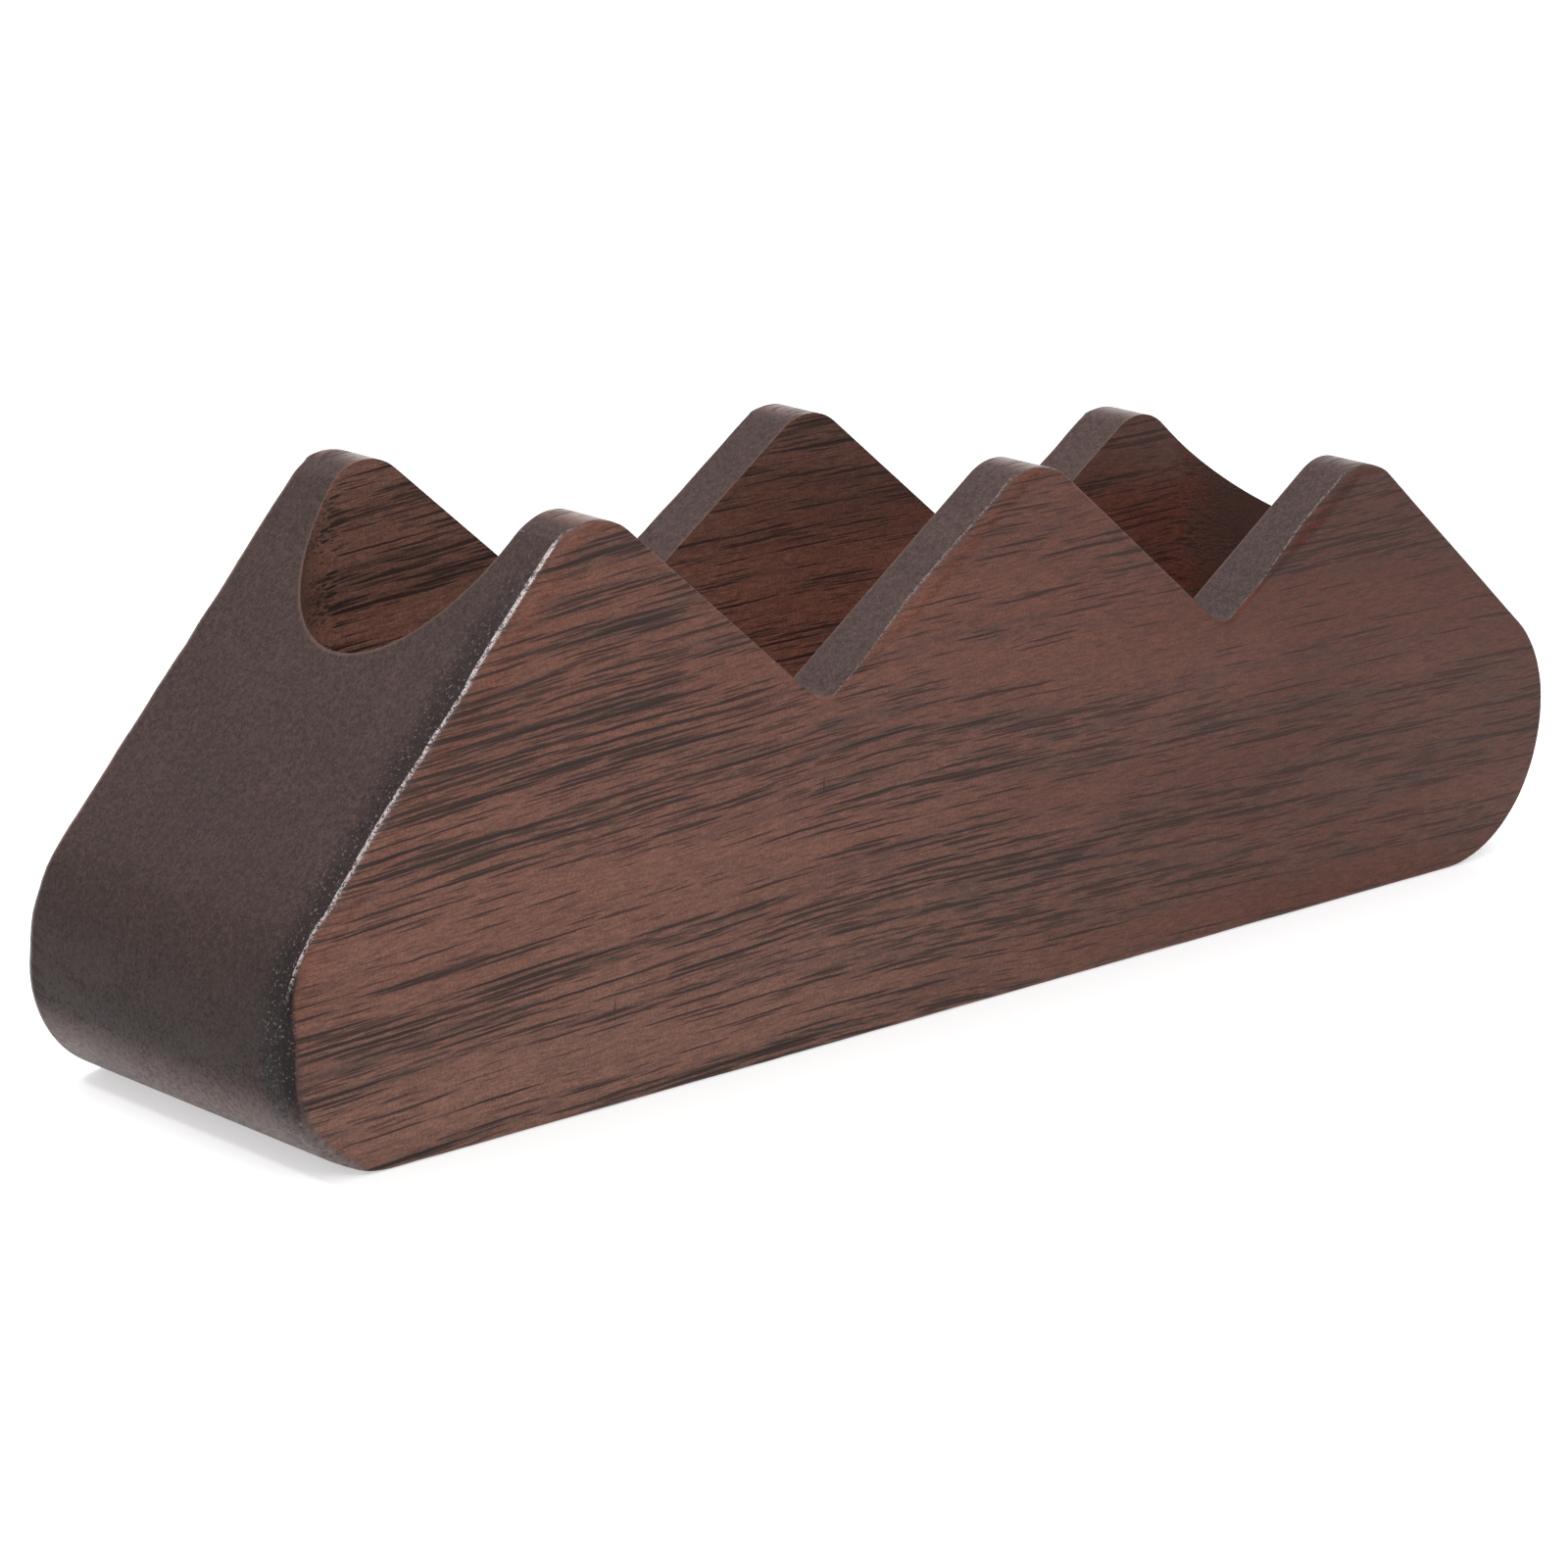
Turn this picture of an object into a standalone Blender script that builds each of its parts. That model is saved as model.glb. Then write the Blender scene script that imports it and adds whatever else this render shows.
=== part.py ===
"""Pick holder: one block of dark hardwood with a mountain-ridge outline and a long pocket for picks.

The outline (three rounded peaks, two V notches) is drawn in the X-Z plane and given the board's
thickness along Y. One stadium-shaped pocket is milled straight down from the top. Its round ends
break out through the two sloping ends of the ridge, which leaves a U-shaped scoop in each.

Frame: metres, +Z up, +X along the ridge towards the lower peak, -Y is the front face. The origin is
at the middle of the bounding box's footprint, on the surface that the holder stands on.
"""
import math

import bmesh
import bpy
from mathutils import Matrix, Vector

MM = 0.001

# Driving dimensions. The outline's X is measured from the steep end's upright stretch.
THICKNESS = 25.4 * MM          # one-inch board, front face to back face
WALL = 4.2 * MM                # wood left in front of the pocket and behind it
POCKET_LEFT = 13.4 * MM        # outline X of the pocket's two ends
POCKET_RIGHT = 110.7 * MM
POCKET_FLOOR = 6.0 * MM        # height of the pocket's flat floor
EDGE_ROUND = 0.8 * MM          # sanded edge all round the front and back faces

# Sharp corner (x, z) and the radius that rounds it, counter-clockwise from the steep end's foot.
OUTLINE = (
    ((0.0 * MM, 0.0 * MM), 8.0 * MM),        # foot of the steep end
    ((122.0 * MM, 0.0 * MM), 10.0 * MM),     # foot of the low end
    ((122.0 * MM, 15.0 * MM), 9.7 * MM),     # shoulder of the low end
    ((98.4 * MM, 33.0 * MM), 4.1 * MM),      # third peak
    ((83.3 * MM, 22.4 * MM), 1.6 * MM),      # second notch
    ((63.1 * MM, 37.0 * MM), 4.3 * MM),      # second peak
    ((43.7 * MM, 22.9 * MM), 1.6 * MM),      # first notch
    ((22.6 * MM, 38.9 * MM), 4.0 * MM),      # first peak
    ((0.0 * MM, 12.9 * MM), 10.3 * MM),      # shoulder of the steep end
)
ARC_STEP = math.radians(4.5)   # angle between points on a rounded corner
EDGE_SEGMENTS = 3
POCKET_END_STEPS = 32          # segments in each half-round pocket end
CLEARANCE = 5.0 * MM           # how far the pocket's cutter stands above the peaks

MERGE = 0.00002
OBJECT_NAME = "pick_holder"


def clear_scene():
    """Remove whatever the scene holds, such as the default cube."""
    for scene_object in list(bpy.data.objects):
        bpy.data.objects.remove(scene_object, do_unlink=True)


def new_collection(name):
    """A collection linked to the scene."""
    collection = bpy.data.collections.new(name)
    bpy.context.scene.collection.children.link(collection)
    return collection


def wood_material():
    """Dark stained hardwood with a satin finish."""
    material = bpy.data.materials.new("stained_hardwood")
    material.use_nodes = True
    shader = material.node_tree.nodes["Principled BSDF"]
    shader.inputs["Base Color"].default_value = (0.085, 0.040, 0.026, 1.0)
    shader.inputs["Roughness"].default_value = 0.5
    shader.inputs["Metallic"].default_value = 0.0
    material.diffuse_color = (0.085, 0.040, 0.026, 1.0)
    return material


def corner_arc(before, corner, after, radius):
    """Points of the arc that rounds one corner of a closed outline."""
    to_before = (before - corner).normalized()
    to_after = (after - corner).normalized()
    half_angle = to_before.angle(to_after) / 2
    centre = corner + (to_before + to_after).normalized() * radius / math.sin(half_angle)
    tangent = radius / math.tan(half_angle)
    start = corner + to_before * tangent - centre
    end = corner + to_after * tangent - centre
    sweep = start.angle_signed(end)
    steps = max(3, math.ceil(abs(sweep) / ARC_STEP))
    return [centre + Matrix.Rotation(-sweep * i / steps, 2) @ start for i in range(steps + 1)]


def rounded_outline(corners):
    """The closed outline with every corner rounded by its own radius."""
    sharp = [Vector(point) for point, _ in corners]
    points = []
    for i, (_, radius) in enumerate(corners):
        points += corner_arc(sharp[i - 1], sharp[i], sharp[(i + 1) % len(sharp)], radius)
    return points


def stadium_outline(x_left, x_right, half_width):
    """A slot outline in the X-Y plane with half-round ends."""
    points = []
    for centre_x, start in ((x_right - half_width, -math.pi / 2), (x_left + half_width, math.pi / 2)):
        for i in range(POCKET_END_STEPS + 1):
            angle = start + math.pi * i / POCKET_END_STEPS
            points.append(Vector((centre_x + half_width * math.cos(angle), half_width * math.sin(angle))))
    return points


def extruded_outline(name, points, depth, placement, collection):
    """A closed solid: a filled 2D curve given a depth, then turned into a welded mesh."""
    curve = bpy.data.curves.new(name + "_outline", "CURVE")
    curve.dimensions = "2D"
    curve.fill_mode = "BOTH"
    curve.extrude = depth / 2
    spline = curve.splines.new("POLY")
    spline.points.add(len(points) - 1)
    for spline_point, point in zip(spline.points, points):
        spline_point.co = (point.x, point.y, 0.0, 1.0)
    spline.use_cyclic_u = True
    outline = bpy.data.objects.new(name + "_outline", curve)
    outline.matrix_world = placement
    collection.objects.link(outline)
    bpy.context.view_layer.update()
    evaluated = outline.evaluated_get(bpy.context.evaluated_depsgraph_get())
    mesh = bpy.data.meshes.new_from_object(evaluated)
    mesh.name = name
    mesh.transform(placement)
    bpy.data.objects.remove(outline, do_unlink=True)
    welded = bmesh.new()
    welded.from_mesh(mesh)
    bmesh.ops.remove_doubles(welded, verts=welded.verts, dist=MERGE)
    bmesh.ops.recalc_face_normals(welded, faces=welded.faces)
    welded.to_mesh(mesh)
    welded.free()
    solid = bpy.data.objects.new(name, mesh)
    collection.objects.link(solid)
    return solid


def build_pocket_cutter(centre_x, top, cutters):
    """The milling path of the pocket: a stadium from its floor to clear of the peaks."""
    half_width = THICKNESS / 2 - WALL
    depth = top + CLEARANCE - POCKET_FLOOR
    points = stadium_outline(POCKET_LEFT - centre_x, POCKET_RIGHT - centre_x, half_width)
    placement = Matrix.Translation((0.0, 0.0, POCKET_FLOOR + depth / 2))
    cutter = extruded_outline("pocket_cutter", points, depth, placement, cutters)
    cutter.hide_render = True
    cutter.display_type = "WIRE"
    return cutter


def build_holder_block(parts, cutters):
    """The whole holder: the ridge outline, its sanded edges, and the pocket cut out of it."""
    outline = rounded_outline(OUTLINE)
    xs = [point.x for point in outline]
    centre_x = (min(xs) + max(xs)) / 2
    top = max(point.y for point in outline)
    points = [Vector((point.x - centre_x, point.y)) for point in outline]
    upright = Matrix.Rotation(math.radians(90.0), 4, "X")
    block = extruded_outline("holder_block", points, THICKNESS, upright, parts)
    block.data.materials.append(wood_material())

    edges = block.modifiers.new("sanded_edges", "BEVEL")
    edges.width = EDGE_ROUND
    edges.segments = EDGE_SEGMENTS
    edges.limit_method = "ANGLE"
    edges.angle_limit = math.radians(60.0)

    pocket = block.modifiers.new("pocket", "BOOLEAN")
    pocket.operation = "DIFFERENCE"
    pocket.solver = "EXACT"
    pocket.object = build_pocket_cutter(centre_x, top, cutters)

    block.data.shade_smooth()
    block.data.set_sharp_from_angle(angle=math.radians(35.0))
    return block


def main():
    clear_scene()
    parts = new_collection(OBJECT_NAME)
    cutters = new_collection(OBJECT_NAME + "_cutters")
    build_holder_block(parts, cutters)


main()
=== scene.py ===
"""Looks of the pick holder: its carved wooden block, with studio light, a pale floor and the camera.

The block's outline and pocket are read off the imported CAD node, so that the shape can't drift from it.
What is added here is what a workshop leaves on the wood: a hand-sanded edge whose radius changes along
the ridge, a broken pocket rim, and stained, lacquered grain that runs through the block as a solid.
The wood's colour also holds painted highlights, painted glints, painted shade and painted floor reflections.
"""
import math

import bmesh
import bpy
import numpy as np
from mathutils import Matrix, Vector, noise


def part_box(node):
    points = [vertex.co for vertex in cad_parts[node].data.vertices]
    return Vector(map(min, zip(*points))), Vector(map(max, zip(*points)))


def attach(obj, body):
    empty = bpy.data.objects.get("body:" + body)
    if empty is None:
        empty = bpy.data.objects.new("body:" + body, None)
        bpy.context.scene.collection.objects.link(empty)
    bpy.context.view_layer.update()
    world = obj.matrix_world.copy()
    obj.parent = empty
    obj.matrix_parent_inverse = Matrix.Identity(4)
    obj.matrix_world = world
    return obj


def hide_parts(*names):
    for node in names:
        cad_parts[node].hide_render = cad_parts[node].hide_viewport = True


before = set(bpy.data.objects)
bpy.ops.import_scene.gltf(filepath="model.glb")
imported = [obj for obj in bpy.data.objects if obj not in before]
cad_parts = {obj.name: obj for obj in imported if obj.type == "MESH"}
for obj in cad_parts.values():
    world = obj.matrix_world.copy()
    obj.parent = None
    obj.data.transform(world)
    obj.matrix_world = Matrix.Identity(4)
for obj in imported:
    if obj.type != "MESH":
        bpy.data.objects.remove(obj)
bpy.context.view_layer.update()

MM = 0.001
NODE = "holder_block"
LOW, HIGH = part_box(NODE)
HALF_THICKNESS = (HIGH.y - LOW.y) / 2

# Sanded edges: their radius on the steep end, on the front of the other slopes that face the steep end,
# round the peaks' tops and elsewhere, and how uneven they are
ROUND_STEEP_FRONT = 1.35 * MM
ROUND_STEEP_BACK = 1.0 * MM
ROUND_SLOPE_FRONT = 1.1 * MM
ROUND_PEAK = 0.7 * MM
ROUND_ELSEWHERE = 0.3 * MM
ROUND_UNEVEN = 0.22
ROUND_WAVES_PER_M = 160
ROUND_RIPPLES_PER_M = 600
ROUND_STEPS = 8
RIM_ROUND_PEAK = 0.55 * MM
RIM_ROUND = 0.2 * MM

# Grain: the lines' slopes left and right of their bend, where and over what length they bend, in mm,
# and how much more they climb for each mm of height above the level GRAIN_FAN_FROM
SLOPE_LEFT = 0.056
SLOPE_RIGHT = -0.010
GRAIN_BEND_X = -14.0
GRAIN_BEND_LENGTH = 8.0
GRAIN_FAN = 0.0018
GRAIN_FAN_FROM = 13.0

# How far from the middle plane, in mm, the grain stops changing: the broad faces' own grain lies there.
# And how much its lines dip for each mm round the sanded edge.
EDGE_DEPTH = 10.9
EDGE_DIP = 0.48

# Two nicks in the front face, in mm
NICKS = ((-35.1, 6.4), (-17.3, 17.7))
NICK_WIDTH = 0.22
NICK_HEIGHT = 1.3

# How far apart the three sets of pores lie, along the grain and both ways across it, in mm
LONG_PORES = (26, 0.46, 0.48)
MID_PORES = (12, 0.34, 0.36)
FINE_PORES = (4.5, 0.20, 0.21)
RELIEF_DEPTH = 0.06 * MM

# Colours of the wood, linear. The tints multiply what is under them.
BROAD_FACE_STEEP_END = (0.136, 0.058, 0.040, 1.0)
# The broad faces' colour at the low end is painted shade.
BROAD_FACE_LOW_END_PAINTED_SHADE = (0.071, 0.0205, 0.0120, 1.0)
NO_TINT = (1.0, 1.0, 1.0, 1.0)
# Painted floor reflection: the broad faces lighter and greyer near the floor.
TINT_PAINTED_FLOOR_REFLECTION = (1.13, 1.26, 1.30, 1.0)
TINT_TOWARDS_PEAKS = (0.93, 0.85, 0.81, 1.0)
# Painted light: the pocket's walls lighter and greyer, against their shade.
TINT_PAINTED_LIGHT_IN_POCKET = (0.98, 1.10, 1.16, 1.0)
CROWDED_WOOD = (0.055, 0.028, 0.024, 1.0)
SMOKY_WOOD = (0.034, 0.021, 0.019, 1.0)
PORE_COLOUR = (0.018, 0.012, 0.011, 1.0)
POCKET_CROSS_CUT = (0.040, 0.022, 0.018, 1.0)
POCKET_FAR_END = (0.060, 0.044, 0.040, 1.0)
# Painted highlight along the pocket's rim.
POCKET_RIM_PAINTED_HIGHLIGHT = (0.17, 0.10, 0.08, 1.0)
END_GRAIN_PLAIN = (0.050, 0.028, 0.0245, 1.0)
END_GRAIN_CLOUDED = (0.044, 0.025, 0.0225, 1.0)
GATHERED_STAIN = (0.014, 0.006, 0.006, 1.0)
# Painted glints: light specks in the gathered stain.
PAINTED_GLINT = (0.26, 0.22, 0.21, 1.0)
# Painted floor reflection on the steep end's foot.
FOOT_PAINTED_REFLECTION = (0.175, 0.145, 0.140, 1.0)
# Painted highlight: the bright line on the front edge's rounding.
PAINTED_EDGE_HIGHLIGHT = (0.40, 0.35, 0.34, 1.0)

# Studio lights: name, place and edge length in metres, and power in watts
LIGHT_TARGET = (0.0, 0.0, 0.018)
LIGHTS = (
    ("key_softbox", (-0.20, -0.34, 0.50), 0.35, 0.85),
    ("rim_softbox", (-0.52, 0.28, 0.82), 0.10, 3.2),
    ("back_softbox", (0.84, 0.79, 0.34), 0.5, 2.7),
    ("top_softbox", (0.15, 0.25, 1.60), 1.4, 10.0),
)
FLOOR_SIZE = 6.0
SURROUND_STRENGTH = 0.85

# Camera: where it looks, from which side, and how long its lens is
CAMERA_AIM = Vector((-7.8 * MM, -0.2 * MM, 13.4 * MM))
CAMERA_AZIMUTH = math.radians(-46.5)
CAMERA_ELEVATION = math.radians(15.5)
CAMERA_ROLL = math.radians(2.8)
CAMERA_DISTANCE = 330.5 * MM
LENS_MM = 113.8
SENSOR_MM = 36.0


# ---------------------------------------------------------------- reading the CAD node

def cut_outline(node, point, normal):
    """The closed loops that a plane cuts from a CAD node, each as a list of points."""
    section = bmesh.new()
    section.from_mesh(node.data)
    bmesh.ops.remove_doubles(section, verts=section.verts, dist=1e-6)
    geometry = section.verts[:] + section.edges[:] + section.faces[:]
    bmesh.ops.bisect_plane(
        section, geom=geometry, plane_co=point, plane_no=normal, clear_inner=True, clear_outer=True
    )
    loops = []
    unused = set(section.verts)
    while unused:
        start = unused.pop()
        loop, here = [start], start
        while True:
            onward = [e.other_vert(here) for e in here.link_edges if e.other_vert(here) in unused]
            if not onward:
                break
            here = onward[0]
            unused.discard(here)
            loop.append(here)
        loops.append([v.co.copy() for v in loop])
    section.free()
    return loops


def corner_points(points, shortest=0.01 * MM, least_turn=math.radians(1.0)):
    """The outline's points where it turns, without those that lie on a straight run."""
    spaced = [p for i, p in enumerate(points) if (p - points[i - 1]).length > shortest]
    kept = []
    for i, point in enumerate(spaced):
        before, after = spaced[i - 1], spaced[(i + 1) % len(spaced)]
        if (point - before).angle(after - point) > least_turn:
            kept.append(point)
    return kept


def read_ridge_outline(node):
    """The ridge's outline in the X-Z plane, anticlockwise seen from the front, as 2D points."""
    inside_front_wall = Vector((0.0, LOW.y + 2.5 * MM, 0.0))
    loop = max(cut_outline(node, inside_front_wall, Vector((0, 1, 0))), key=len)
    points = [Vector((p.x, p.z)) for p in corner_points(loop)]
    area = sum(a.cross(b) for a, b in zip(points, points[1:] + points[:1]))
    return points if area > 0 else points[::-1]


def read_pocket(node):
    """The pocket's left end, right end, half width and floor height."""
    below_notches = Vector((0.0, 0.0, (LOW.z + HIGH.z) * 0.4))
    loops = cut_outline(node, below_notches, Vector((0, 0, 1)))
    pocket = min(loops, key=lambda loop: max(p.y for p in loop))
    left, right = min(p.x for p in pocket), max(p.x for p in pocket)
    half_width = max(p.y for p in pocket)
    in_pocket = [v.co for v in node.data.vertices if abs(v.co.y) < half_width * 1.01]
    floor = min(co.z for co in in_pocket if co.z > LOW.z + MM)
    return left, right, half_width, floor


# ---------------------------------------------------------------- the block's mesh

def new_object(name, mesh):
    made = bpy.data.objects.new(name, mesh)
    bpy.context.scene.collection.objects.link(made)
    return made


def evaluated_mesh(source, name):
    """The mesh that an object's modifiers make, as new mesh data."""
    depsgraph = bpy.context.evaluated_depsgraph_get()
    mesh = bpy.data.meshes.new_from_object(source.evaluated_get(depsgraph))
    mesh.name = name
    return mesh


def smooth_step(low, high, value):
    t = min(max((value - low) / (high - low), 0.0), 1.0)
    return t * t * (3 - 2 * t)


def finer_outline(points, longest):
    """The outline with its straight runs divided, so that an edge's radius can change along them."""
    fine = []
    for a, b in zip(points, points[1:] + points[:1]):
        parts = max(1, math.ceil((b - a).length / longest))
        fine += [a.lerp(b, i / parts) for i in range(parts)]
    return fine


def outward_normals(points):
    """The outline's normal at each point, pointing out of the wood."""
    normals = []
    for i, point in enumerate(points):
        along = (points[(i + 1) % len(points)] - points[i - 1]).normalized()
        normals.append(Vector((along.y, -along.x)))
    return normals


def edge_radius(point, normal, front):
    """How far the sander rounded this stretch of edge. The steep end is the most worn."""
    length, height = HIGH.x - LOW.x, HIGH.z - LOW.z
    faces_steep_end = smooth_step(0.15, 0.5, -normal.x)
    at_steep_end = faces_steep_end * smooth_step(LOW.x + 0.22 * length, LOW.x + 0.16 * length, point.x)
    up_slope = faces_steep_end * smooth_step(LOW.z + 0.62 * height, LOW.z + 0.78 * height, point.y)
    near_top = smooth_step(LOW.z + 0.75 * height, LOW.z + 0.85 * height, point.y)
    on_peak = smooth_step(0.8, 1.0, normal.y) * near_top
    radius = max(
        ROUND_ELSEWHERE,
        ROUND_PEAK * on_peak,
        (ROUND_SLOPE_FRONT if front else ROUND_PEAK) * up_slope,
        (ROUND_STEEP_FRONT if front else ROUND_STEEP_BACK) * at_steep_end,
    )
    where = Vector((point.x, 0.05 if front else 0.15, point.y))
    waves = noise.noise(where * ROUND_WAVES_PER_M)
    ripples = noise.noise(where * ROUND_RIPPLES_PER_M)
    return radius * (1 + ROUND_UNEVEN * waves + 0.5 * ROUND_UNEVEN * ripples)


def build_shell(outline):
    """The block before its pocket is cut: side wall, rounded edges and the two broad faces."""
    normals = outward_normals(outline)
    shell = bmesh.new()

    def ring(front, angle):
        """One ring of vertices round the block. Angle 0 is on the side wall, 90 degrees on the broad face."""
        side = -1 if front else 1
        vertices = []
        for point, normal in zip(outline, normals):
            radius = edge_radius(point, normal, front)
            inset = point - normal * radius * (1 - math.cos(angle))
            depth = HALF_THICKNESS - radius * (1 - math.sin(angle))
            vertices.append(shell.verts.new((inset.x, side * depth, inset.y)))
        return vertices

    angles = [math.pi / 2 * i / ROUND_STEPS for i in range(ROUND_STEPS + 1)]
    rings = [ring(True, angle) for angle in reversed(angles)] + [ring(False, angle) for angle in angles]
    count = len(outline)
    for front_ring, back_ring in zip(rings, rings[1:]):
        for i in range(count):
            j = (i + 1) % count
            shell.faces.new((front_ring[i], back_ring[i], back_ring[j], front_ring[j]))
    shell.faces.new(rings[0])
    shell.faces.new(reversed(rings[-1]))
    bmesh.ops.recalc_face_normals(shell, faces=shell.faces)
    mesh = bpy.data.meshes.new("block_shell")
    shell.to_mesh(mesh)
    shell.free()
    return new_object("holder_body", mesh)


def build_pocket_cutter(left, right, half_width, floor):
    """A stadium-shaped prism, the room that the milling cutter cleared."""
    end_steps = 40
    cutter = bmesh.new()
    outline = []
    for centre_x, start in ((right - half_width, -math.pi / 2), (left + half_width, math.pi / 2)):
        for i in range(end_steps + 1):
            angle = start + math.pi * i / end_steps
            outline.append((centre_x + half_width * math.cos(angle), half_width * math.sin(angle)))
    face = cutter.faces.new([cutter.verts.new((x, y, floor)) for x, y in outline])
    raised = bmesh.ops.extrude_face_region(cutter, geom=[face])["geom"]
    lift = HIGH.z - floor + 5 * MM
    top = [v for v in raised if isinstance(v, bmesh.types.BMVert)]
    bmesh.ops.translate(cutter, vec=(0, 0, lift), verts=top)
    bmesh.ops.recalc_face_normals(cutter, faces=cutter.faces)
    mesh = bpy.data.meshes.new("pocket_cutter")
    cutter.to_mesh(mesh)
    cutter.free()
    return new_object("pocket_cutter", mesh)


def weigh_rim(mesh):
    """Mark the pocket's rim for the bevel: broken lightly along the slopes, and sanded round on the peaks.

    The corner round the pocket's floor stays sharp.
    """
    rim = bmesh.new()
    rim.from_mesh(mesh)
    weight = rim.edges.layers.float.new("bevel_weight_edge")
    height = HIGH.z - LOW.z
    for edge in rim.edges:
        if edge.calc_face_angle(0.0) < math.radians(40):
            continue
        middle = (edge.verts[0].co + edge.verts[1].co) / 2
        if middle.z > LOW.z + 0.25 * height:
            on_peak = smooth_step(LOW.z + 0.70 * height, LOW.z + 0.88 * height, middle.z)
            edge[weight] = (RIM_ROUND + (RIM_ROUND_PEAK - RIM_ROUND) * on_peak) / RIM_ROUND_PEAK
        else:
            edge.smooth = False
    rim.to_mesh(mesh)
    rim.free()


def build_body(node):
    """The whole carved block as one closed mesh."""
    outline = finer_outline(read_ridge_outline(node), 0.8 * MM)
    body = build_shell(outline)
    cutter = build_pocket_cutter(*read_pocket(node))
    pocket = body.modifiers.new("pocket", "BOOLEAN")
    pocket.operation = "DIFFERENCE"
    pocket.solver = "EXACT"
    pocket.object = cutter
    body.data = evaluated_mesh(body, "holder_body")
    body.modifiers.clear()
    bpy.data.objects.remove(cutter, do_unlink=True)
    weigh_rim(body.data)
    rim = body.modifiers.new("broken_rim", "BEVEL")
    rim.width = RIM_ROUND_PEAK
    rim.segments = 4
    rim.limit_method = "WEIGHT"
    body.data = evaluated_mesh(body, "holder_body")
    body.modifiers.clear()
    body.data.shade_smooth()
    weighted = body.modifiers.new("flat_faces_stay_flat", "WEIGHTED_NORMAL")
    weighted.weight = 80
    weighted.keep_sharp = True
    return body


# ---------------------------------------------------------------- wood

class Graph:
    """Short calls for building a material's node tree."""

    def __init__(self, material):
        material.use_nodes = True
        self.tree = material.node_tree
        self.shader = self.tree.nodes["Principled BSDF"]

    def add(self, kind, inputs=(), **settings):
        """A node with its settings, and its inputs given as {name or index: value or socket}."""
        made = self.tree.nodes.new(kind)
        for name, value in settings.items():
            setattr(made, name, value)
        for key, value in dict(inputs).items():
            self.feed(made.inputs[key], value)
        return made

    def feed(self, socket, value):
        if isinstance(value, bpy.types.NodeSocket):
            self.tree.links.new(value, socket)
        else:
            socket.default_value = value

    def math(self, operation, a, b=0.0, c=0.0, clamp=False):
        made = self.add("ShaderNodeMath", {0: a, 1: b, 2: c}, operation=operation, use_clamp=clamp)
        return made.outputs[0]

    def between(self, value, low, high, to_low=0.0, to_high=1.0):
        """Value carried smoothly from low..high to to_low..to_high, and held outside."""
        inputs = {"Value": value, "From Min": low, "From Max": high, "To Min": to_low, "To Max": to_high}
        made = self.add("ShaderNodeMapRange", inputs, interpolation_type="SMOOTHSTEP")
        return made.outputs["Result"]

    def mix(self, factor, a, b, blend="MIX"):
        made = self.add("ShaderNodeMix", {"Factor": factor}, data_type="RGBA", blend_type=blend)
        self.feed(made.inputs[6], a)
        self.feed(made.inputs[7], b)
        return made.outputs[2]

    def noise(self, vector, detail=2.0, roughness=0.5):
        inputs = {"Vector": vector, "Scale": 1.0, "Detail": detail, "Roughness": roughness}
        return self.add("ShaderNodeTexNoise", inputs).outputs["Fac"]

    def combine(self, x, y, z):
        return self.add("ShaderNodeCombineXYZ", {0: x, 1: y, 2: z}).outputs[0]

    def scaled(self, vector, size, shift=(0.0, 0.0, 0.0)):
        """Vector in millimetres turned into steps of the given size along each axis."""
        scale = tuple(1.0 / s for s in size)
        made = self.add("ShaderNodeMapping", {"Vector": vector, "Scale": scale, "Location": shift})
        return made.outputs[0]


def grain_coordinates(g, in_mm):
    """X, Y and Z in millimetres, and the height measured across the grain lines instead of straight up."""
    x, y, z = g.add("ShaderNodeSeparateXYZ", {0: in_mm}).outputs
    # The lines climb at the steep end and level out a little left of the middle.
    past_bend = g.math("SUBTRACT", x, GRAIN_BEND_X)
    round_bend = g.math("SQRT", g.math("MULTIPLY_ADD", past_bend, past_bend, GRAIN_BEND_LENGTH ** 2))
    climb = g.math("MULTIPLY", past_bend, (SLOPE_LEFT + SLOPE_RIGHT) / 2)
    climb = g.math("MULTIPLY_ADD", round_bend, (SLOPE_RIGHT - SLOPE_LEFT) / 2, climb)
    # Higher up they climb more.
    fan = g.math("MULTIPLY", g.math("SUBTRACT", z, GRAIN_FAN_FROM), g.math("MULTIPLY", x, GRAIN_FAN))
    drift = g.math("MULTIPLY_ADD", g.noise(g.scaled(in_mm, (34, 22, 13))), 1.2, -0.6)
    ripple = g.math("MULTIPLY_ADD", g.noise(g.scaled(in_mm, (6, 1.6, 1.6), (7, 3, 1))), 0.20, -0.10)
    jitter = g.math("MULTIPLY_ADD", g.noise(g.scaled(in_mm, (1.2, 0.4, 0.4), (2, 6, 4))), 0.10, -0.05)
    # Round the sanded edges they dip.
    off_middle = g.math("MAXIMUM", g.math("ABSOLUTE", y), EDGE_DEPTH)
    below_face = g.math("SUBTRACT", HALF_THICKNESS / MM, off_middle)
    dip = g.math("MULTIPLY", below_face, EDGE_DIP)
    height = g.math("ADD", g.math("SUBTRACT", g.math("SUBTRACT", z, climb), fan), dip)
    height = g.math("ADD", g.math("ADD", height, drift), g.math("ADD", ripple, jitter))
    return x, y, z, height


def pore_set(g, grain, size, shift, reach, softness):
    """Dark tubes along the grain. Each is a stretched drop round a scattered point, size apart."""
    scattered = g.add("ShaderNodeTexVoronoi", {"Vector": g.scaled(grain, size, shift), "Scale": 1.0})
    return g.between(g.math("SUBTRACT", reach, scattered.outputs["Distance"]), 0.0, softness)


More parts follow.
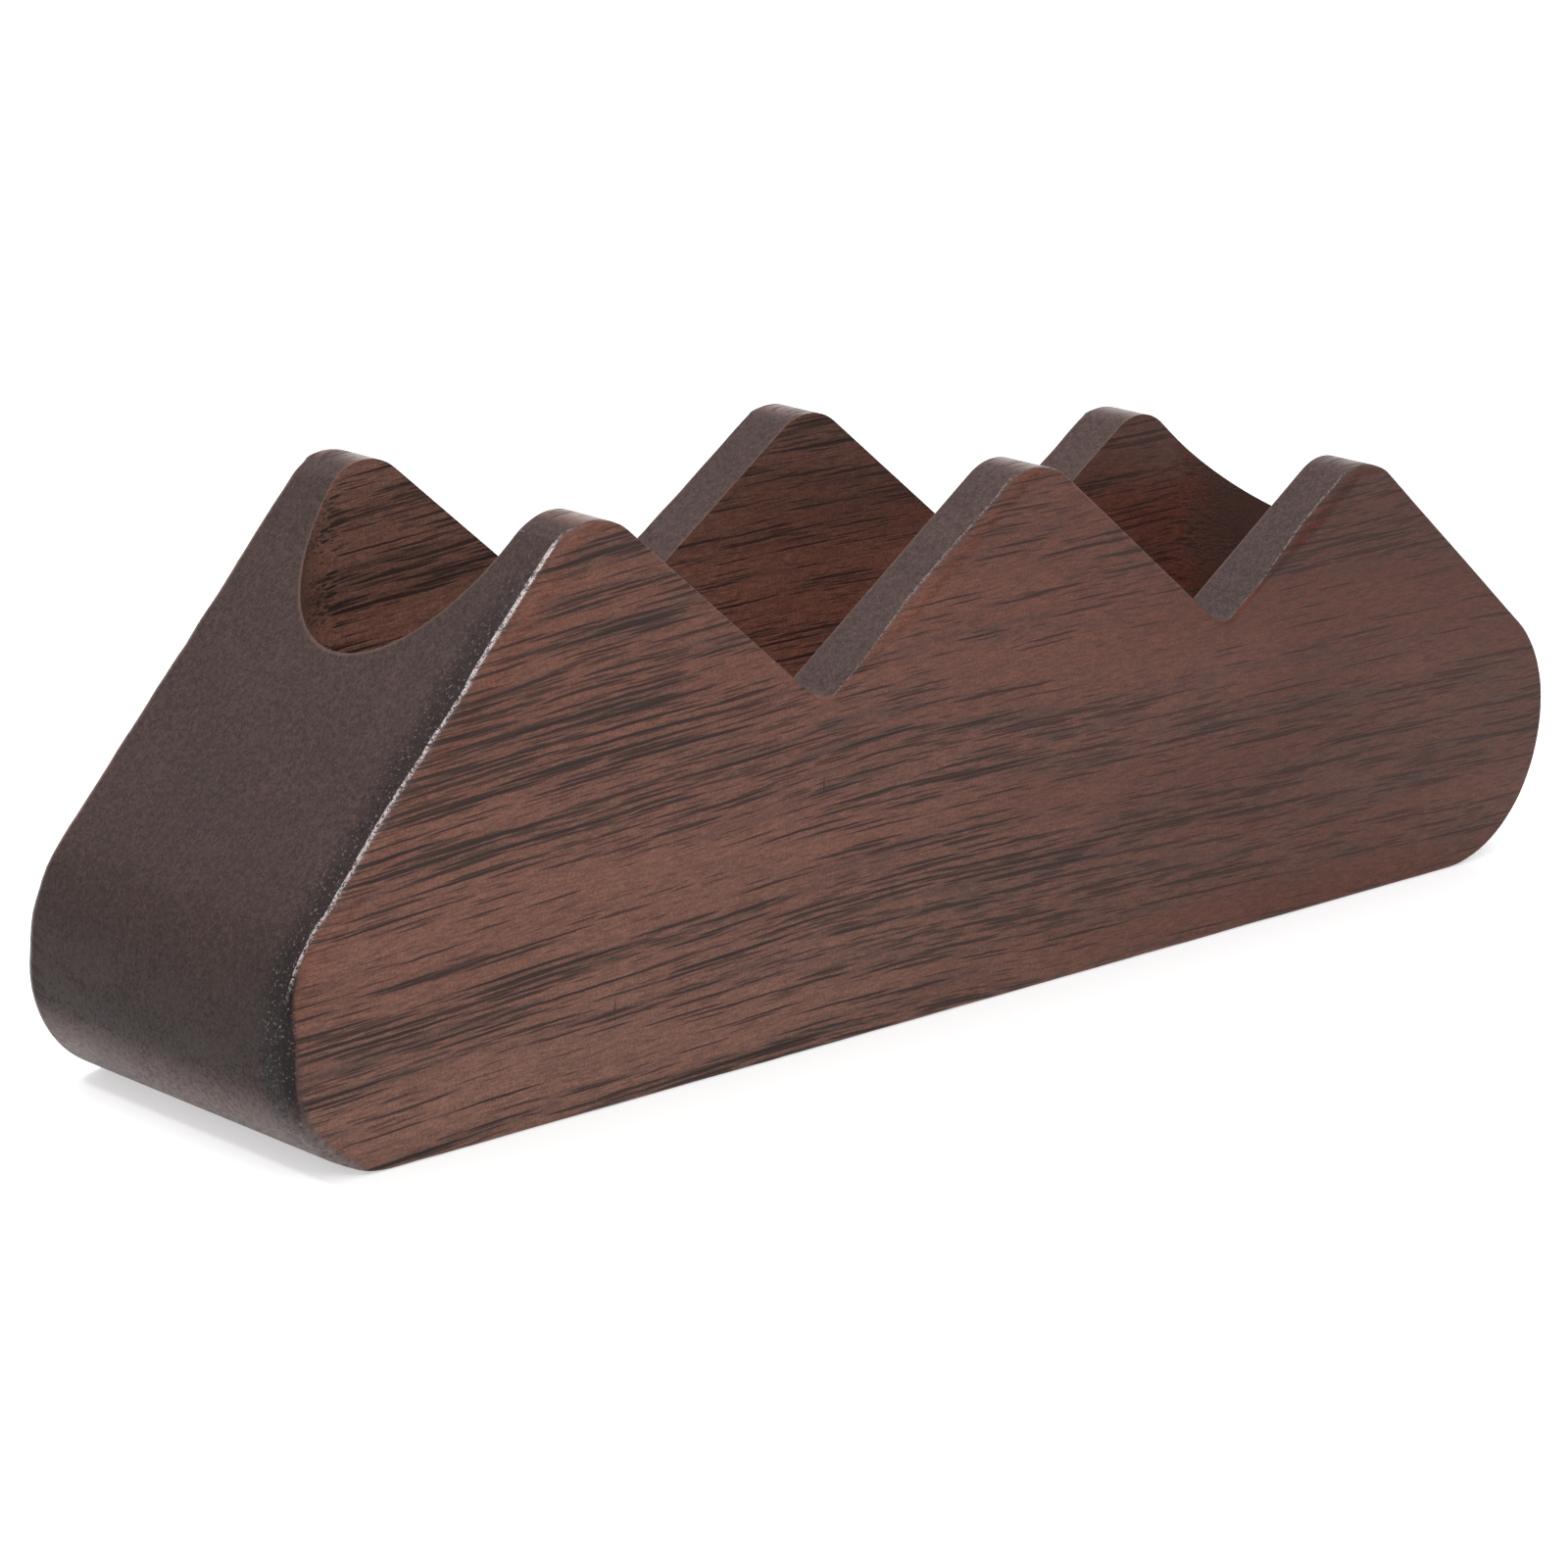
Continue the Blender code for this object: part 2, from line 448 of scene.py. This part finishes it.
def dents(g, x, y, z):
    """Where the small upright nicks in the front face are. They are coloured and bumped like pores."""
    found = 0.0
    for nick_x, nick_z in NICKS:
        across = g.math("DIVIDE", g.math("SUBTRACT", x, nick_x), NICK_WIDTH)
        along = g.math("DIVIDE", g.math("SUBTRACT", z, nick_z), NICK_HEIGHT)
        distance = g.math("SQRT", g.math("MULTIPLY_ADD", across, across, g.math("MULTIPLY", along, along)))
        found = g.math("MAXIMUM", found, g.between(distance, 0.25, 0.6, 1.0, 0.0))
    face = -HALF_THICKNESS / MM
    return g.math("MULTIPLY", found, g.between(y, face + 0.5, face + 1.0, 1.0, 0.0))


def pocket_distance(g, x, y, left, right, half_width):
    """How far a point lies outside the pocket's stadium outline, in mm, and 0 inside it."""
    middle, half_run = (left + right) / 2, (right - left) / 2 - half_width
    off_middle = g.math("ABSOLUTE", g.math("SUBTRACT", x, middle))
    past_run = g.math("MAXIMUM", g.math("SUBTRACT", off_middle, half_run), 0.0)
    from_axis = g.math("SQRT", g.math("MULTIPLY_ADD", past_run, past_run, g.math("MULTIPLY", y, y)))
    return g.math("MAXIMUM", g.math("SUBTRACT", from_axis, half_width), 0.0)


def wood_material(pocket):
    """Stained open-pore hardwood as a solid: every cut through it shows the grain that runs there."""
    material = bpy.data.materials.new("stained_hardwood")
    g = Graph(material)
    place = g.add("ShaderNodeTexCoord")
    to_mm = {0: place.outputs["Object"], 1: (1000.0,) * 3}
    in_mm = g.add("ShaderNodeVectorMath", to_mm, operation="MULTIPLY").outputs[0]
    facing = g.add("ShaderNodeSeparateXYZ", {0: place.outputs["Normal"]}).outputs
    x, y, z, height = grain_coordinates(g, in_mm)
    # The broad faces' grain runs on over their rounded edges.
    depth = g.math("MAXIMUM", g.math("MINIMUM", y, EDGE_DEPTH), -EDGE_DEPTH)
    grain = g.combine(x, depth, height)

    # Bands of darker growth, where the pores crowd together. The steep end's third has the most.
    bands = g.noise(g.scaled(grain, (46, 7, 2.6), (3, 5, 9)), detail=3.0, roughness=0.6)
    crowd = g.between(bands, 0.37, 0.60)
    open_end = g.between(x, -38.0, -5.0, 0.035, 0.0)
    long_reach = g.math("ADD", g.math("MULTIPLY_ADD", crowd, 0.14, 0.18), open_end)
    mid_reach = g.math("ADD", g.math("MULTIPLY_ADD", crowd, 0.17, 0.22), open_end)
    fine_reach = g.math("ADD", g.math("MULTIPLY_ADD", crowd, 0.26, 0.20), open_end)
    long_pores = pore_set(g, grain, LONG_PORES, (0.3, 0.1, 0.7), long_reach, 0.12)
    mid_pores = pore_set(g, grain, MID_PORES, (0.8, 0.4, 0.2), mid_reach, 0.13)
    fine_pores = pore_set(g, grain, FINE_PORES, (0.5, 0.6, 0.9), fine_reach, 0.18)
    pores = g.math("MAXIMUM", long_pores, g.math("MULTIPLY", mid_pores, 0.9))
    pores = g.math("MAXIMUM", pores, g.math("MULTIPLY", fine_pores, 0.7))
    pores = g.math("MULTIPLY", pores, g.between(x, -20.0, 45.0, 1.0, 0.66))
    pores = g.math("MAXIMUM", pores, g.math("MULTIPLY", dents(g, x, y, z), 0.75))
    fibre = g.noise(g.scaled(grain, (1.1, 0.15, 0.15)), detail=2.0, roughness=0.65)
    speck = g.noise(g.scaled(in_mm, (0.19, 0.19, 0.19)), detail=2.0, roughness=0.75)
    crumb = g.noise(g.scaled(in_mm, (0.42, 0.42, 0.42), (5, 5, 2)), detail=3.0, roughness=0.7)
    cloud = g.noise(g.scaled(grain, (18, 8, 5), (4, 1, 3)), detail=2.0)
    smoke = g.between(g.noise(g.scaled(grain, (12, 2.0, 0.8), (6, 2, 8)), detail=2.0), 0.48, 0.74)

    # How much of a cut crosses the fibres: 0 on the broad faces, 1 on the ridge's slopes and ends.
    sideways = g.math("ABSOLUTE", facing["Y"])
    at_foot = g.between(z, 8.0, 15.0, 0.62, 0.0)
    off_the_round = g.between(g.math("SUBTRACT", sideways, at_foot), 0.10, 0.34, 1.0, 0.0)
    end_grain = g.math("MULTIPLY", g.between(g.math("ABSOLUTE", facing["X"]), 0.12, 0.45), off_the_round)
    # Stain has gathered on the steep end beside its front edge, with painted glints in it. The edge's
    # rounding gets a painted highlight line.
    steep_end = g.between(facing["X"], -0.70, -0.62, 1.0, 0.0)
    off_front = g.math("ADD", y, HALF_THICKNESS / MM)
    ragged = g.math("MULTIPLY_ADD", crumb, 1.4, -0.7)
    edge_stain = g.between(g.math("ADD", off_front, ragged), 1.9, 3.9, 1.0, 0.0)
    edge_stain = g.math("MULTIPLY", edge_stain, steep_end)
    edge_stain = g.math("MULTIPLY", edge_stain, g.between(z, 30.0, 37.0, 1.0, 0.1))
    # Painted highlight: a beaded bright line where the front edge's rounding meets the side, facing the steep
    # end.
    near_slope = g.between(sideways, 0.16, 0.32, 1.0, 0.0)
    near_slope = g.math("MULTIPLY", g.between(sideways, 0.05, 0.12), near_slope)
    toward_steep_end = g.between(facing["X"], -0.55, -0.35, 1.0, 0.0)
    in_front = g.between(y, -HALF_THICKNESS / MM + 2.0, 0.0, 1.0, 0.0)
    painted_edge_highlight = g.math("MULTIPLY", g.math("MULTIPLY", near_slope, in_front), toward_steep_end)
    painted_edge_highlight = g.math("MULTIPLY", painted_edge_highlight, g.between(z, 11.0, 14.0))
    painted_edge_highlight = g.math("MULTIPLY", painted_edge_highlight, g.between(speck, 0.40, 0.56))
    polished = g.math("MULTIPLY", g.between(sideways, 0.04, 0.16), steep_end)
    # The pocket's own wall, and the rim where the slopes meet it, which gets a painted highlight.
    left, right, half_width, _ = (size / MM for size in pocket)
    beyond_wall = pocket_distance(g, x, y, left, right, half_width)
    upright = g.between(g.math("ABSOLUTE", facing["Z"]), 0.05, 0.3, 1.0, 0.0)
    inside = g.math("MULTIPLY", upright, g.between(beyond_wall, 0.2, 0.5, 1.0, 0.0))
    rim = g.between(beyond_wall, 0.05, 0.22, 1.0, 0.0)
    rim = g.math("MULTIPLY", rim, g.between(facing["Z"], 0.08, 0.25))
    far_end = g.math("MULTIPLY", inside, g.between(facing["X"], -0.75, -0.05, 1.0, 0.0))
    end_grain = g.math("MULTIPLY", end_grain, g.math("SUBTRACT", 1.0, inside))

    # Painted shade darkens the broad faces towards the low end, with a cloudy wander, and they turn redder
    # towards the peaks.
    along_block = g.math("SUBTRACT", g.between(x, -45.0, 50.0), 0.3)
    painted_shade_toward_low_end = g.math("MULTIPLY_ADD", cloud, 0.6, along_block, clamp=True)
    wood = g.mix(painted_shade_toward_low_end, BROAD_FACE_STEEP_END, BROAD_FACE_LOW_END_PAINTED_SHADE)
    # Near the floor a painted floor reflection makes the broad faces lighter and greyer.
    tint_with_painted_light = g.mix(g.between(z, 2.0, 13.0), TINT_PAINTED_FLOOR_REFLECTION, NO_TINT)
    tint_with_painted_light = g.mix(g.between(z, 15.0, 29.0), tint_with_painted_light, TINT_TOWARDS_PEAKS)
    # Painted light lightens the pocket's walls.
    tint_with_painted_light = g.mix(inside, tint_with_painted_light, TINT_PAINTED_LIGHT_IN_POCKET)
    wood = g.mix(1.0, wood, tint_with_painted_light, "MULTIPLY")
    wood = g.mix(g.math("MULTIPLY", crowd, 0.20), wood, CROWDED_WOOD)
    smoky = g.math("MULTIPLY", smoke, g.math("MULTIPLY_ADD", crowd, 0.50, 0.10))
    wood = g.mix(smoky, wood, SMOKY_WOOD)
    fibre_grit = g.between(fibre, 0.25, 0.75, 0.74, 1.26)
    grit = g.math("MULTIPLY", fibre_grit, g.between(speck, 0.25, 0.75, 0.74, 1.26))
    on_slopes = g.between(inside, 0.0, 1.0, 0.78, 1.0)
    grit = g.math("MULTIPLY", grit, g.between(sideways, 0.30, 0.95, on_slopes, 1.0))
    # Painted light: the pocket's walls are lighter the deeper they lie.
    painted_light_low_in_pocket = g.between(z, 18.0, 32.0, 1.4, 0.22)
    grit = g.math("MULTIPLY", grit, g.math("MULTIPLY_ADD", inside, painted_light_low_in_pocket, 1.0))
    wood = g.mix(1.0, wood, g.combine(grit, grit, grit), "MULTIPLY")
    endways = g.math("ABSOLUTE", facing["X"])
    across_fibres = g.math("MULTIPLY", inside, g.between(endways, 0.25, 0.62))
    shown_pores = g.math("MULTIPLY", pores, g.math("MULTIPLY_ADD", across_fibres, -0.75, 0.9))
    wood = g.mix(shown_pores, wood, PORE_COLOUR)
    wood = g.mix(g.math("MULTIPLY", across_fibres, 0.35), wood, POCKET_CROSS_CUT)
    wood = g.mix(g.math("MULTIPLY", far_end, 0.6), wood, POCKET_FAR_END)

    end_wood = g.mix(g.between(cloud, 0.35, 0.65), END_GRAIN_PLAIN, END_GRAIN_CLOUDED)
    end_wood = g.mix(g.math("MULTIPLY", edge_stain, 0.88), end_wood, GATHERED_STAIN)
    stipple = g.between(speck, 0.2, 0.8, 0.5, 1.5)
    stipple = g.math("MULTIPLY", stipple, g.between(crumb, 0.3, 0.7, 0.72, 1.28))
    # The steep end is darker lower down, and painted floor-bounce light lightens its foot.
    darker_low_with_floor_bounce = g.between(z, 7.0, 20.0, 0.44, 0.78)
    darker_low_with_floor_bounce = g.math("MAXIMUM", darker_low_with_floor_bounce, g.between(z, 3.0, 8.0, 1.30, 0.0))
    steep_end_darkening_and_floor_bounce = g.math("MULTIPLY_ADD", steep_end, g.math("SUBTRACT", darker_low_with_floor_bounce, 1.0), 1.0)
    stipple = g.math("MULTIPLY", stipple, steep_end_darkening_and_floor_bounce)
    end_wood = g.mix(1.0, end_wood, g.combine(stipple, stipple, stipple), "MULTIPLY")
    # Painted glints: light specks in the gathered stain.
    painted_glints = g.math("MULTIPLY", g.between(speck, 0.60, 0.72), edge_stain)
    end_wood = g.mix(g.math("MULTIPLY", painted_glints, 0.6), end_wood, PAINTED_GLINT)
    # A painted floor reflection lightens the steep end's foot where it curves under.
    painted_foot_reflection = g.between(z, 0.8, 6.0, 1.0, 0.0)
    painted_foot_reflection = g.math("MULTIPLY", painted_foot_reflection, g.between(facing["X"], -0.5, -0.1, 1.0, 0.0))
    painted_foot_reflection = g.math("MULTIPLY", painted_foot_reflection, g.between(crumb, 0.30, 0.65, 0.25, 0.80))
    end_wood = g.mix(painted_foot_reflection, end_wood, FOOT_PAINTED_REFLECTION)
    colour = g.mix(end_grain, wood, end_wood)
    # Painted highlight along the pocket's rim.
    colour = g.mix(g.math("MULTIPLY", rim, 0.28), colour, POCKET_RIM_PAINTED_HIGHLIGHT)
    # The painted highlight on the front edge is strongest on the steep end.
    painted_highlight_strength = g.math("MULTIPLY_ADD", steep_end, 0.65, 0.25)
    colour = g.mix(g.math("MULTIPLY", painted_edge_highlight, painted_highlight_strength), colour, PAINTED_EDGE_HIGHLIGHT)

    roughness = g.math("MULTIPLY_ADD", pores, 0.22, 0.42)
    roughness = g.math("MULTIPLY_ADD", speck, 0.10, roughness)
    roughness = g.math("MULTIPLY_ADD", polished, -0.27, roughness)
    long_relief = g.math("MULTIPLY_ADD", pores, -0.9, g.math("MULTIPLY", fibre, 0.22))
    long_relief = g.math("MULTIPLY", long_relief, g.math("SUBTRACT", 1.0, end_grain))
    end_relief = g.math("MULTIPLY", speck, g.math("MULTIPLY_ADD", edge_stain, 0.9, 0.35))
    relief = g.math("ADD", long_relief, end_relief)
    relief = g.math("MULTIPLY", relief, g.math("MULTIPLY_ADD", polished, -0.7, 1.0))
    bump = g.add("ShaderNodeBump", {"Height": relief, "Strength": 0.6, "Distance": RELIEF_DEPTH})

    g.feed(g.shader.inputs["Base Color"], colour)
    g.feed(g.shader.inputs["Roughness"], roughness)
    g.feed(g.shader.inputs["Normal"], bump.outputs["Normal"])
    g.shader.inputs["Specular IOR Level"].default_value = 0.18
    return material


# ---------------------------------------------------------------- studio

def add_area_light(name, location, size, power):
    data = bpy.data.lights.new(name, "AREA")
    data.shape = "RECTANGLE"
    data.size = size
    data.size_y = size
    data.energy = power
    light = bpy.data.objects.new(name, data)
    light.location = location
    aim = Vector(LIGHT_TARGET) - Vector(location)
    light.rotation_euler = aim.to_track_quat("-Z", "Y").to_euler()
    bpy.context.scene.collection.objects.link(light)


def light_table_material():
    """White acrylic lit a little from below, so that the block's own shadow stays faint."""
    material = bpy.data.materials.new("pale_floor")
    material.use_nodes = True
    shader = material.node_tree.nodes["Principled BSDF"]
    shader.inputs["Base Color"].default_value = (0.62, 0.62, 0.62, 1.0)
    shader.inputs["Roughness"].default_value = 0.7
    shader.inputs["Specular IOR Level"].default_value = 0.2
    shader.inputs["Emission Color"].default_value = (1.0, 1.0, 1.0, 1.0)
    shader.inputs["Emission Strength"].default_value = 0.5
    return material


def build_studio():
    """A pale floor, soft overhead light and an even white surround."""
    bpy.ops.mesh.primitive_plane_add(size=FLOOR_SIZE, location=(0, 0, LOW.z))
    floor = bpy.context.object
    floor.name = "floor"
    floor.data.materials.append(light_table_material())
    world = bpy.data.worlds.new("studio")
    bpy.context.scene.world = world
    world.use_nodes = True
    surround = world.node_tree.nodes["Background"]
    surround.inputs["Color"].default_value = (1.0, 1.0, 1.0, 1.0)
    surround.inputs["Strength"].default_value = SURROUND_STRENGTH
    for name, location, size, power in LIGHTS:
        add_area_light(name, location, size, power)


def build_camera():
    data = bpy.data.cameras.new("camera")
    data.sensor_width = SENSOR_MM
    data.lens = LENS_MM
    data.clip_start = 0.01
    camera = bpy.data.objects.new("camera", data)
    horizontal = math.cos(CAMERA_ELEVATION)
    back = Vector((
        math.sin(CAMERA_AZIMUTH) * horizontal,
        -math.cos(CAMERA_AZIMUTH) * horizontal,
        math.sin(CAMERA_ELEVATION),
    ))
    right = Vector((0, 0, 1)).cross(back).normalized()
    up = back.cross(right)
    level = Matrix((right, up, back)).transposed().to_4x4()
    place = Matrix.Translation(CAMERA_AIM + back * CAMERA_DISTANCE)
    camera.matrix_world = place @ level @ Matrix.Rotation(CAMERA_ROLL, 4, "Z")
    bpy.context.scene.collection.objects.link(camera)
    bpy.context.scene.camera = camera


build_camera()
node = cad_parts[NODE]
body = build_body(node)
body.data.materials.clear()
body.data.materials.append(wood_material(read_pocket(node)))
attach(body, "root")
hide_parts(NODE)
build_studio()

bpy.context.scene.view_settings.view_transform = "Standard"
